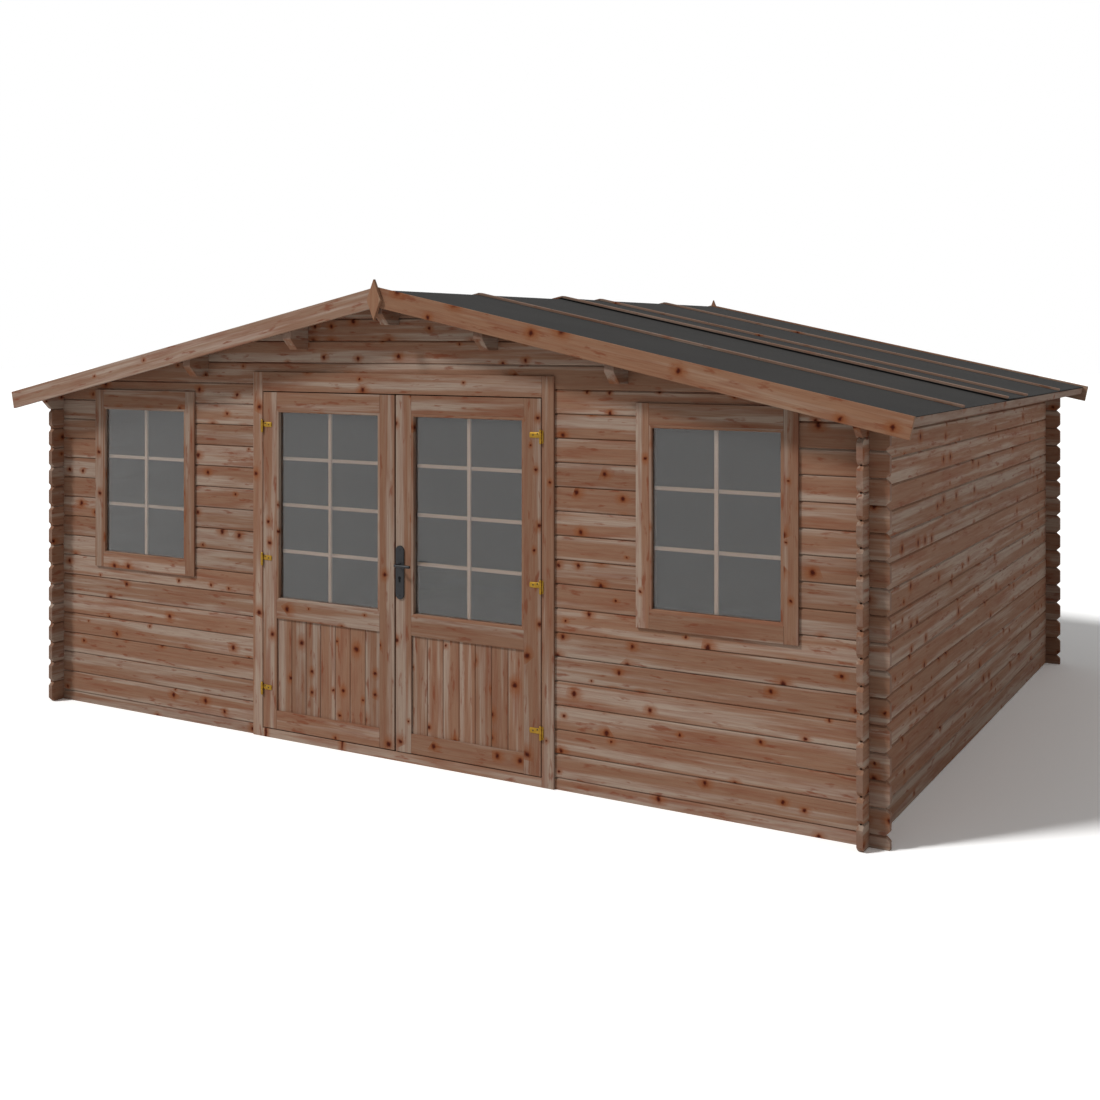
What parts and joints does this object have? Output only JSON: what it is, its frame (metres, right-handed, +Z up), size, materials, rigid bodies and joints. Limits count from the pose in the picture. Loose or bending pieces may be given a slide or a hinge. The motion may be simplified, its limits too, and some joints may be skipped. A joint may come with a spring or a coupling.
{
  "type": "log cabin",
  "caption": "Single-room log cabin with interlocking corner logs, a glazed double door, two windows and a low felted gable roof.",
  "frame": {"origin": "middle of the cabin's footprint, on the ground", "axes": "+X to the right along the front wall, +Y from the front to the back, +Z up"},
  "size_m": [5.292, 4.184, 2.3919],
  "materials": {
    "pine": "satin",
    "felt": "matte",
    "glass": "gloss",
    "brass": "satin",
    "handle": "satin"
  },
  "bodies": {
    "root": {"front_wall_even_logs": "pine", "front_wall_odd_logs": "pine", "rear_wall_even_logs": "pine", "rear_wall_odd_logs": "pine", "left_wall_even_logs": "pine", "left_wall_odd_logs": "pine", "right_wall_even_logs": "pine", "right_wall_odd_logs": "pine", "ridge_purlin": "pine", "left_purlins": "pine", "right_purlins": "pine", "left_roof_boards": "pine", "right_roof_boards": "pine", "left_roof_felt": "felt", "right_roof_felt": "felt", "left_roof_battens": "pine", "right_roof_battens": "pine", "eave_strips": "pine", "front_left_barge_board": "pine", "front_right_barge_board": "pine", "rear_left_barge_board": "pine", "rear_right_barge_board": "pine", "finials": "pine", "door_posts": "pine", "door_head": "pine", "door_sill": "pine", "left_window_stiles": "pine", "left_window_rails": "pine", "left_window_glass": "glass", "right_window_stiles": "pine", "right_window_rails": "pine", "right_window_glass": "glass", "post_hinges": "brass"},
    "left_leaf": {"left_leaf_stiles": "pine", "left_leaf_rails": "pine", "left_leaf_panel": "pine", "left_leaf_glass": "glass", "left_leaf_hinges": "brass"},
    "right_leaf": {"right_leaf_stiles": "pine", "right_leaf_rails": "pine", "right_leaf_panel": "pine", "right_leaf_glass": "glass", "right_leaf_hinges": "brass", "handle_plates": "handle"},
    "lever": {"door_lever": "handle"}
  },
  "joints": [
    {"name": "left_leaf_hinge", "type": "hinge", "parent": "root", "child": "left_leaf", "pos_m": [-0.8525, -1.933, 0.938], "axis": [0, 0, -1], "range_deg": [0, 110]},
    {"name": "right_leaf_hinge", "type": "hinge", "parent": "root", "child": "right_leaf", "pos_m": [0.8525, -1.933, 0.938], "axis": [0, 0, 1], "range_deg": [0, 110]},
    {"name": "lever_turn", "type": "hinge", "parent": "right_leaf", "child": "lever", "pos_m": [0.042, -1.926, 0.98], "axis": [0, 1, 0], "range_deg": [0, 40], "stiffness_Nm_per_rad": 1, "springref_deg": -34.38}
  ]
}
